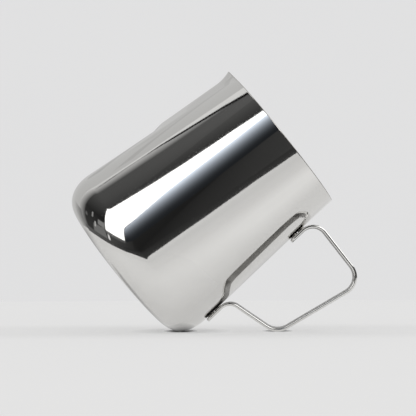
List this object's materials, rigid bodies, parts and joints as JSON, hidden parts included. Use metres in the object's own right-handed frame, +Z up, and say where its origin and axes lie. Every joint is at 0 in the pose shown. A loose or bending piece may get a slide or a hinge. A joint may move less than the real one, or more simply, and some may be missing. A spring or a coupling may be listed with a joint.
{
  "type": "milk frothing pitcher",
  "caption": "Mirror-polished steel pitcher for frothing and pouring milk: tapered drawn cup with a rounded base corner, pressed V spout and a welded flat-strip handle.",
  "frame": {"origin": "on the cup's axis at the underside of its base, where it stands", "axes": "+Z up along the cup's axis to the rim, +X to the handle, -X to the spout, +Y across the handle's strip"},
  "size_m": [0.1281, 0.094, 0.105],
  "materials": {
    "polished_body": "mirror-polished stainless steel",
    "polished_handle": "polished stainless steel strip",
    "weld_steel": "dull spot-weld nugget"
  },
  "bodies": {
    "root": {"pitcher_body": "polished_body", "handle": "polished_handle", "weld_lower_low": "weld_steel", "weld_lower_high": "weld_steel", "weld_upper_low": "weld_steel", "weld_upper_high": "weld_steel"}
  },
  "joints": []
}
